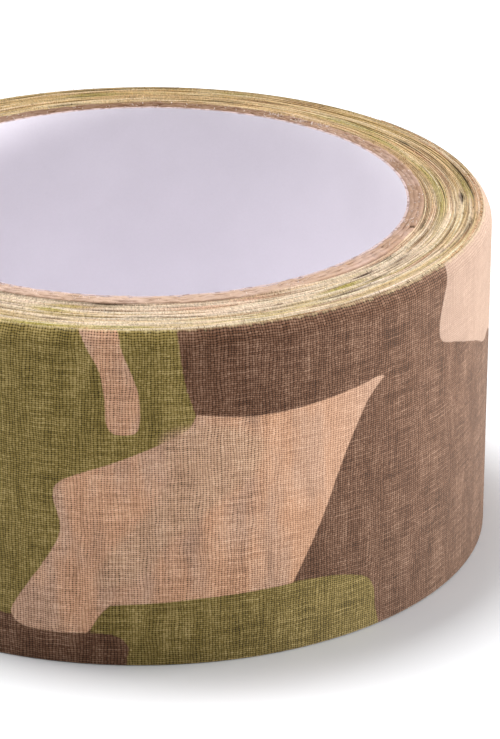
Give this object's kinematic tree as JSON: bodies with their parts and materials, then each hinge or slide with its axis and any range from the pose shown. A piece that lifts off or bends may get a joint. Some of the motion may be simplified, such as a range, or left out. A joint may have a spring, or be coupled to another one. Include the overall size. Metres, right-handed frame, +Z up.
{
  "type": "cloth tape roll",
  "caption": "Roll of camouflage-printed woven cloth tape on a cardboard core, with a free end that peels off the roll.",
  "frame": {"origin": "middle of the underside, on the roll's axis", "axes": "+Z up along the roll's axis; the camera side is -Y and the peel line is just past +X"},
  "size_m": [0.1017, 0.1017, 0.0505],
  "materials": {
    "liner_paper": "matt white paper",
    "core_board": "raw brown board",
    "printed_cloth": "plain-woven cotton cloth, printed in green, brown and tan camouflage patches"
  },
  "bodies": {
    "roll": {"core_liner": "liner_paper", "core_ply_inner": "core_board", "core_ply_middle": "core_board", "core_ply_outer": "core_board", "wound_turns": "printed_cloth", "outer_turn": "printed_cloth"},
    "free_end_1": {"free_end_1": "printed_cloth"},
    "free_end_2": {"free_end_2": "printed_cloth"},
    "free_end_3": {"free_end_3": "printed_cloth"},
    "free_end_4": {"free_end_4": "printed_cloth"},
    "free_end_5": {"free_end_5": "printed_cloth"},
    "free_end_6": {"free_end_6": "printed_cloth"}
  },
  "joints": [
    {"name": "peel_hinge", "type": "hinge", "parent": "roll", "child": "free_end_1", "pos_m": [0.05069, 0.00533, 0.025], "axis": [0, 0, -1], "range_deg": [0, 150]},
    {"name": "uncurl_2", "type": "hinge", "parent": "free_end_1", "child": "free_end_2", "pos_m": [0.04986, 0.0106, 0.025], "axis": [0, 0, -1], "range_deg": [0, 7.5]},
    {"name": "uncurl_3", "type": "hinge", "parent": "free_end_2", "child": "free_end_3", "pos_m": [0.04849, 0.01575, 0.025], "axis": [0, 0, -1], "range_deg": [0, 7.5]},
    {"name": "uncurl_4", "type": "hinge", "parent": "free_end_3", "child": "free_end_4", "pos_m": [0.04658, 0.02074, 0.025], "axis": [0, 0, -1], "range_deg": [0, 7.5]},
    {"name": "uncurl_5", "type": "hinge", "parent": "free_end_4", "child": "free_end_5", "pos_m": [0.04416, 0.0255, 0.025], "axis": [0, 0, -1], "range_deg": [0, 7.5]},
    {"name": "uncurl_6", "type": "hinge", "parent": "free_end_5", "child": "free_end_6", "pos_m": [0.04126, 0.02997, 0.025], "axis": [0, 0, -1], "range_deg": [0, 7.5]}
  ],
  "couplings": [
    {"joint": "uncurl_2", "follows": "peel_hinge", "ratio": 0.05},
    {"joint": "uncurl_3", "follows": "peel_hinge", "ratio": 0.05},
    {"joint": "uncurl_4", "follows": "peel_hinge", "ratio": 0.05},
    {"joint": "uncurl_5", "follows": "peel_hinge", "ratio": 0.05},
    {"joint": "uncurl_6", "follows": "peel_hinge", "ratio": 0.05}
  ]
}
